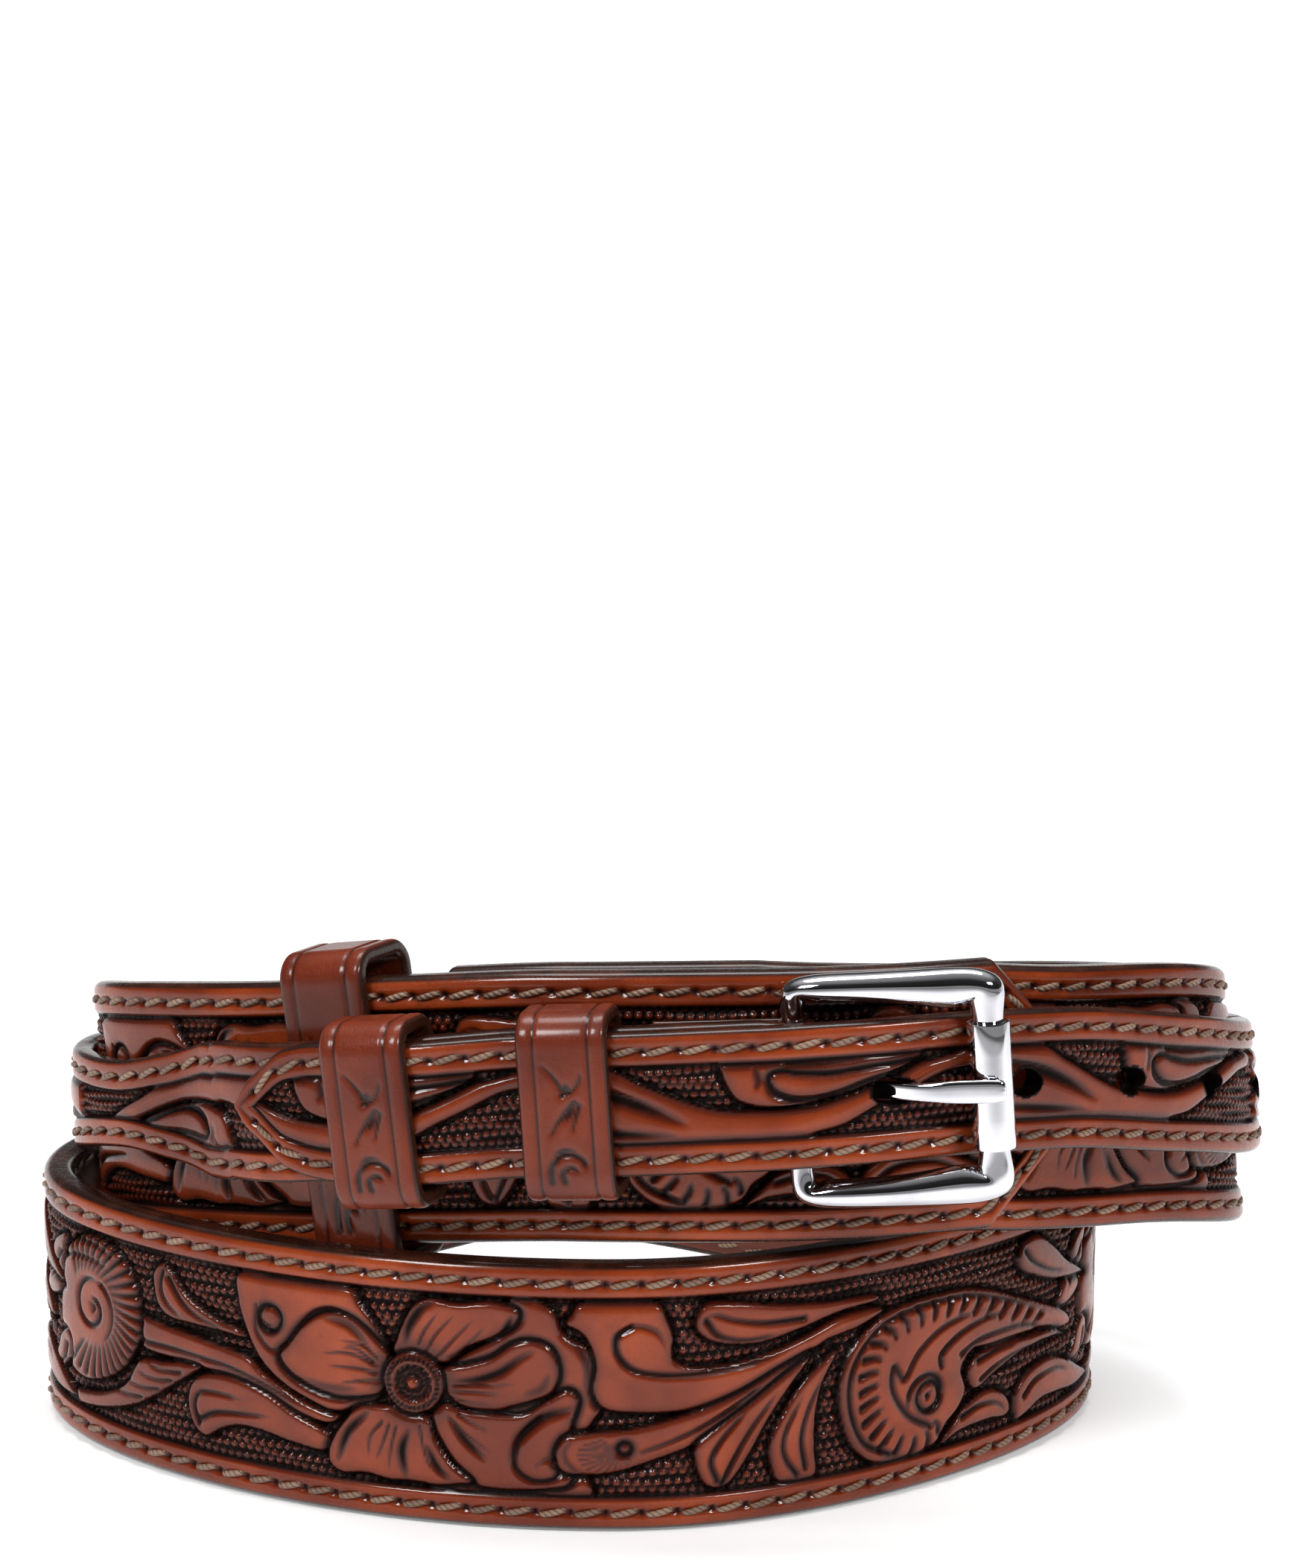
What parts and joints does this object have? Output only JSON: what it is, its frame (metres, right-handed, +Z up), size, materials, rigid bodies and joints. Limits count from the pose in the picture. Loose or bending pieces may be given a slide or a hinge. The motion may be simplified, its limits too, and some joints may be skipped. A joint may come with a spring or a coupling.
{
  "type": "western tooled belt",
  "caption": "Wide tooled leather belt wound in a double coil on its edges, narrow sewn straps fastened with a small roller buckle and three keepers.",
  "frame": {"origin": "middle of the footprint, on the surface the coil stands on", "axes": "+Z up, +X along the coil's longer side towards the roller end of the buckle, buckle facing -Y"},
  "size_m": [0.1864, 0.1302, 0.0801],
  "materials": {
    "strap_leather": "glossy antiqued saddle leather, tooled",
    "keeper_leather": "glossy, smooth with two edge lines",
    "buckle_metal": "polished"
  },
  "bodies": {
    "belt": {"belt_body": "strap_leather", "holed_billet": "strap_leather", "buckle_billet": "strap_leather", "buckle_frame": "buckle_metal", "buckle_prong": "buckle_metal", "keeper_near": "keeper_leather", "keeper_far": "keeper_leather", "keeper_wide": "keeper_leather"},
    "roller": {"buckle_roller": "buckle_metal"}
  },
  "joints": [
    {"name": "roller_spin", "type": "hinge", "parent": "belt", "child": "roller", "pos_m": [0.04588, -0.06022, 0.06438], "axis": [-0.0681, 0.0079, 0.9976], "continuous": true}
  ]
}
